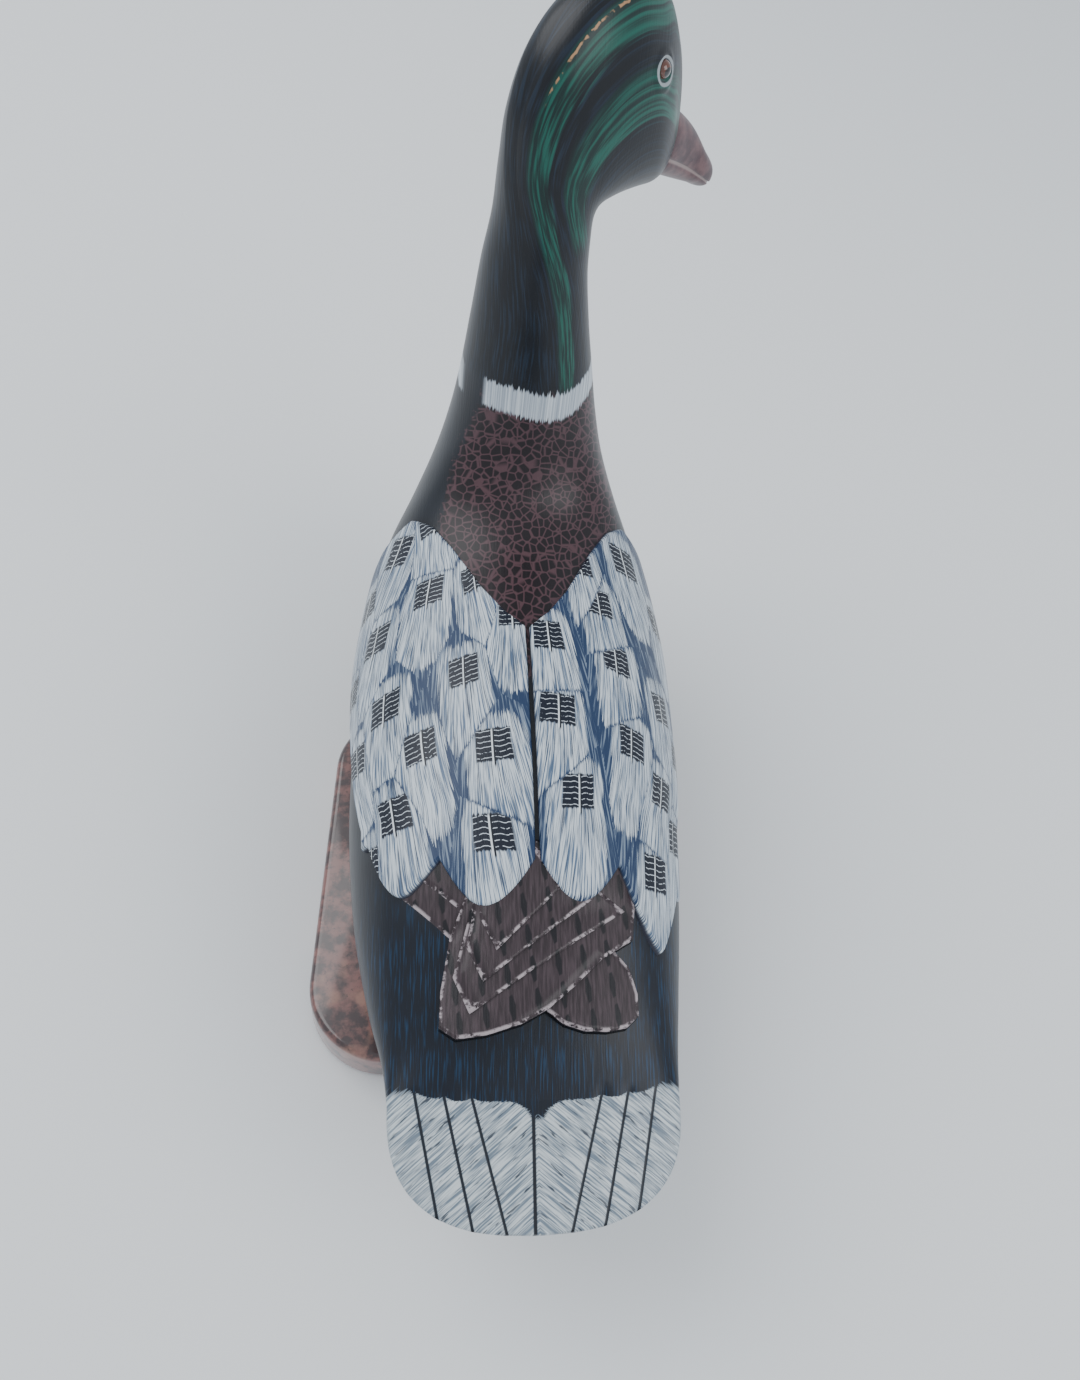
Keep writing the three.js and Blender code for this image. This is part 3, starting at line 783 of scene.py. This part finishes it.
def duck_paint():
    material, shader, ink = new_material("duck_paint")
    x, y, z = (part * 1000 for part in parts_of(ink.add("ShaderNodeTexCoord", output="Object")))
    mantle, collar, gap = parts_of(attribute(ink, "zones"))
    brow, place, side = parts_of(attribute(ink, "brow"))
    eye = number(ink, "eye")
    where = joined(x, y, z)
    fine = strokes(x, y, 0.6, 12)
    colour = blend(cloud(where, 0.05).fade(0.3, 0.7), paint(14, 18, 27), paint(22, 27, 36))
    rump = y.fade(-30, -70)
    colour = blend(rump, colour, blend(fine.fade(0.5, 0.68), paint(5, 14, 28), paint(12, 46, 74)))
    scales = ink.add("ShaderNodeTexVoronoi", {"feature": "DISTANCE_TO_EDGE"},
                     {"Vector": joined(x * 0.3, (z + y) * 0.22, 0), "Scale": 1.0, "Randomness": 0.8})
    brown = blend(scales.fade(0.12, 0.02), paint(24, 17, 22), paint(78, 54, 60))
    ragged = cloud(where, 0.5) * 6 - 3
    colour = blend((mantle + ragged).fade(-1, 1), colour, brown)
    nape = strokes(brow, z, 0.9, 16)
    green = blend(nape.fade(0.4, 0.66), paint(6, 36, 34), paint(18, 86, 74))
    crown = blend(nape.fade(0.45, 0.7), paint(6, 11, 20), paint(20, 34, 50))
    head = z.fade(184, 190)
    colour = blend(head, colour, crown)
    wobble = nape * 5 - 2.5
    near = (brow + 2.5 + wobble).size()
    on_right = side.fade(-0.5, 0.5)
    colour = blend(near.fade(4.5, 2.5) * on_right * head, colour, green)
    cheek = (brow + 16 + wobble).size().fade(5.5, 3) * z.fade(240, 250) * on_right
    colour = blend(cheek, colour, green)
    worn = (brow + cloud(where, 0.4) * 0.8 - 0.4).size().fade(0.45, 0.15) * z.fade(292, 300)
    worn = worn * cloud(where, 0.35).fade(0.5, 0.6) * on_right
    colour = blend(worn, colour, paint(168, 128, 92))
    comb = strokes(x, z, 0.6, 30) * 8 - 4
    white = (collar + comb).fade(0, 1.2) * gap.fade(3, 5)
    colour = blend(white, colour, blend(fine.fade(0.35, 0.7), paint(150, 160, 172), paint(206, 214, 220)))
    ring = (eye - 4.1).size().fade(0.65, 0.35)
    colour = blend(ring, colour, paint(150, 158, 162))
    out = x.size()
    barb = strokes(y * 0.8 + out * 0.6, y * 0.6 - out * 0.8, 0.5, 14)
    dash = strokes(y * 0.8 + out * 0.6, y * 0.6 - out * 0.8, 1.2, 9, 7.0)
    feather = blend(barb.fade(0.38, 0.62), paint(104, 118, 132), paint(196, 204, 208))
    feather = blend(dash.fade(0.6, 0.66) * 0.85, feather, paint(34, 42, 56))
    line = None
    for start, end in GROOVES:
        middle = (y + 109) * ((start - end) / 37) + start
        mark = (out - middle).size().fade(0.75, 0.35)
        line = mark if line is None else line.upper(mark)
    feather = blend(line, feather, paint(20, 26, 36))
    feather = blend((x + 1.5).size().fade(0.9, 0.4), feather, paint(16, 20, 30))
    start = y + 108 + barb * 9 - 4.5 + out.fade(10, 0) * 10 + z.fade(88, 92) * 40
    colour = blend(start.fade(0.6, -0.6), colour, feather)
    return finish_paint(ink, material, shader, colour, fine * 0.4 + nape * 0.3)


def wing_paint():
    material, shader, ink = new_material("wing_paint")
    p, q, seed = parts_of(attribute(ink, "feather"))
    border = number(ink, "border")
    rim = number(ink, "rim")
    spread = p * (q * 0.012 + 1.1)
    hair = strokes(spread, q, 0.42, 16, seed)
    broad = strokes(spread, q, 1.1, 20, seed + 3)
    thin = strokes(spread, q, 0.5, 22, seed + 9)
    white = blend(hair.fade(0.4, 0.56), paint(84, 104, 130), paint(204, 213, 220))
    white = blend(thin.fade(0.58, 0.63) * 0.85, white, paint(28, 44, 70))
    length = (q + 12) / 24
    half = p / 13.5
    tongue = 1 - (length * length * length * length + half * half * half * half) + (hair - 0.5) * 2.2
    under = blend(broad.fade(0.5, 0.62) * 0.55, paint(30, 52, 84), paint(150, 166, 184))
    colour = blend(tongue.fade(-0.05, 0.12) * (border + hair * 0.5 - 0.25).fade(0.0, 0.12), under, white)
    ragged = broad * 3 - 1.5
    block = (8.2 + ragged - p.size()).fade(0, 0.8) * (6.8 + ragged - q.size()).fade(0, 0.8)
    colour = blend(block * border.fade(0.0, 0.06), colour, paint(12, 20, 36))
    bend = cloud(joined(p * 0.22, seed, 0), 1) * 3.0
    rung = ((q + bend) * (2 * math.pi / 2.1)).wave().fade(0.84, 0.98)
    rung = rung * (8.2 - p.size()).fade(0, 1.2) * (6.2 - q.size()).fade(0, 0.4)
    rung = rung * cloud(joined(p * 0.7, q * 0.5, seed), 1).fade(0.36, 0.46) * border.fade(0, 0.06)
    colour = blend(rung, colour, paint(206, 214, 222))
    taper = (q + 1).size().fade(9.5, 2) * border.fade(0, 0.05)
    colour = blend((p - 0.35 - q * 0.02).size().fade(0.5, 0.3) * taper.fade(0.05, 0.3), colour, paint(12, 18, 30))
    colour = blend((p + 0.35 - q * 0.02).size().fade(0.42, 0.25) * taper.fade(0.1, 0.4), colour, paint(224, 230, 234))
    colour = blend(rim.fade(0.5, 0.1), colour, paint(52, 54, 66))
    return finish_paint(ink, material, shader, colour, hair * 0.6 + rung * 0.4)


def tip_paint():
    material, shader, ink = new_material("flight_feather_paint")
    x, y, z = (part * 1000 for part in parts_of(ink.add("ShaderNodeTexCoord", output="Object")))
    rim = number(ink, "rim")
    grain = strokes(x, y, 0.8, 9)
    colour = blend(grain.fade(0.35, 0.7), paint(44, 35, 39), paint(68, 56, 61))
    lane = ((x + y * 0.15) / 9).part() - 0.5
    row = ((y - x * 0.7) / 11 + ((x + y * 0.15) / 9).whole() * 0.37).part() - 0.5
    dash = (lane.size() * 9 + row.size() * 1.6).fade(1.5, 0.9) * row.size().fade(0.42, 0.36)
    colour = blend(dash, colour, paint(18, 16, 22))
    broken = cloud(joined(x, y, z), 0.22, 5, 0.7).fade(0.47, 0.56)
    pale = rim.fade(1.3, 0.4) * broken
    colour = blend(pale, colour, paint(172, 160, 164))
    # The plates' sides and undersides are painted near-black: partly the black paint of their rear ends, partly
    # painted shade beneath the plates.
    under = ink.add("ShaderNodeNewGeometry", output="Normal")
    colour = blend(parts_of(under)[2].fade(0.5, 0.1), colour, paint(14, 13, 17))
    return finish_paint(ink, material, shader, colour, grain)


def bill_paint():
    material, shader, ink = new_material("bill_paint")
    where = ink.add("ShaderNodeTexCoord", output="Object")
    patch = cloud(where, 160, 4, 0.6)
    colour = blend(patch.fade(0.35, 0.7), paint(74, 56, 62), paint(112, 84, 86))
    colour = blend(number(ink, "mouth").fade(0.3, 0.9), colour, paint(150, 132, 130))
    return finish_paint(ink, material, shader, colour, patch)


def eye_glass():
    material, shader, ink = new_material("eye_glass")
    pole = number(ink, "pole")
    colour = blend(pole.fade(0.84, 0.88), paint(92, 42, 20), paint(8, 6, 8))
    wire(ink.tree, shader, Base_Color=colour, Roughness=0.06, Coat_Weight=1.0, Coat_Roughness=0.02)
    return material


def burl():
    material, shader, ink = new_material("burl")
    where = ink.add("ShaderNodeTexCoord", output="Object")
    warp = where.add("ShaderNodeTexNoise", {}, {"Vector": where, "Scale": 60.0, "Detail": 5.0}, output=0)
    patch = cloud(where, 110, 6, 0.62)
    fleck = cloud(where, 420, 3, 0.6)
    colour = blend(patch.fade(0.4, 0.6), paint(54, 34, 36), paint(126, 82, 76))
    colour = blend(warp.fade(0.55, 0.68), colour, paint(146, 104, 90))
    colour = blend(fleck.fade(0.6, 0.68) * 0.6, colour, paint(40, 26, 28))
    wire(ink.tree, shader, Base_Color=colour, Roughness=0.28, Coat_Weight=0.8, Coat_Roughness=0.08)
    wire(ink.tree, shader, Normal=bumped(ink, patch, 0.0001))
    return material


# %% Dressing the pieces
laid_on(skin, duck_paint(), "duck")
wing_finish = wing_paint()
for wing in wings.values():
    laid_on(wing, wing_finish, "duck")
tip_finish = tip_paint()
for name, (outline, rise) in TIPS.items():
    laid_on(make_tip(name, outline, rise), tip_finish, "duck")
laid_on(make_bill(), bill_paint(), "duck")
glass = eye_glass()
for side, name in ((-1, "eye_left"), (1, "eye_right")):
    laid_on(make_eye(side, name + "_bead"), glass, name)
laid_on(make_plinth(), burl(), "plinth")

# %% [markdown]
# A plain pale floor and soft daylight: one broad lamp high on the left, a weaker one on the
# right, and a pale grey world that fills the shadows.


# %% Floor and light
def make_floor():
    shape = bmesh.new()
    bmesh.ops.create_grid(shape, x_segments=1, y_segments=1, size=3)
    mesh = bpy.data.meshes.new("floor")
    shape.to_mesh(mesh)
    shape.free()
    floor = bpy.data.objects.new("floor", mesh)
    scene.collection.objects.link(floor)
    material, shader, ink = new_material("floor_paper")
    wire(ink.tree, shader, Base_Color=paint(232, 234, 236), Roughness=0.8)
    mesh.materials.append(material)


def make_lamp(name, place, power, size):
    lamp = bpy.data.lights.new(name, "AREA")
    lamp.energy = power
    lamp.size = size
    obj = bpy.data.objects.new(name, lamp)
    aim = Vector((0, 0.03, 0.15)) - Vector(place)
    obj.matrix_world = Matrix.Translation(place) @ aim.to_track_quat("-Z", "Y").to_matrix().to_4x4()
    scene.collection.objects.link(obj)


make_floor()
make_lamp("window", (-1.0, 0.5, 1.5), 18, 1.4)
make_lamp("fill", (1.1, -0.9, 1.2), 12, 1.2)
world = bpy.data.worlds.new("room")
world.use_nodes = True
world.node_tree.nodes["Background"].inputs["Color"].default_value = (0.80, 0.86, 0.92, 1)
world.node_tree.nodes["Background"].inputs["Strength"].default_value = 0.95
scene.world = world
